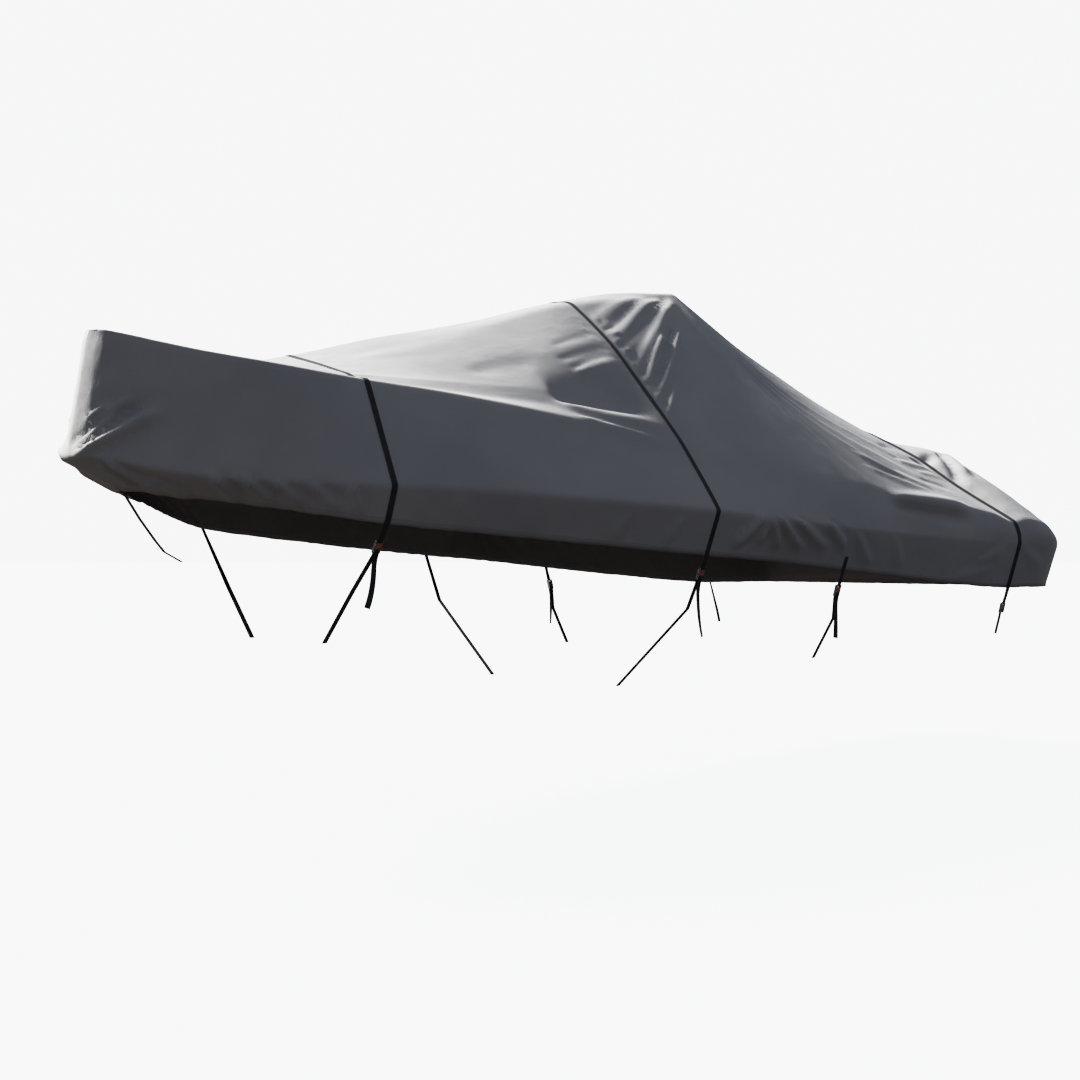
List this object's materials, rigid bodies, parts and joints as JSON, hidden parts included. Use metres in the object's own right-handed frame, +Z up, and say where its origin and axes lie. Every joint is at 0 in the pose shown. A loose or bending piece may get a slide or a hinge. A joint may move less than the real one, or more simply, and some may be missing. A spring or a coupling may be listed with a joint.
{
  "type": "boat cover",
  "caption": "Fitted fabric cover for a centre-console boat, hollow, peaked amidships, with over-the-top webbing straps, cam buckles and hanging strap tails.",
  "frame": {"origin": "inside of the cloth under its highest point, where the boat's console holds the cover up", "axes": "+X aft along the boat, +Y to starboard, +Z up"},
  "size_m": [5.588, 2.3714, 2.0746],
  "materials": {
    "cloth": "matt charcoal-grey woven polyester, lightly coated",
    "webbing": "black woven polyester webbing",
    "buckle": "dark plated steel, worn bright at the bar and cam",
    "lever": "dull red-brown moulded lever"
  },
  "bodies": {
    "root": {"cover": "cloth", "strap_front": "webbing", "buckle_front": "buckle", "lever_front": "lever", "tie_front": "webbing", "strap_mid": "webbing", "buckle_mid": "buckle", "lever_mid": "lever", "tie_mid": "webbing", "strap_rear": "webbing", "buckle_rear": "buckle", "lever_rear": "lever", "tie_rear": "webbing", "tab_port": "webbing", "buckle_port": "buckle", "lever_port": "lever", "tie_port": "webbing", "tab_starboard": "webbing", "buckle_starboard": "buckle", "lever_starboard": "lever", "tie_starboard": "webbing", "tie_bow": "webbing"}
  },
  "joints": []
}
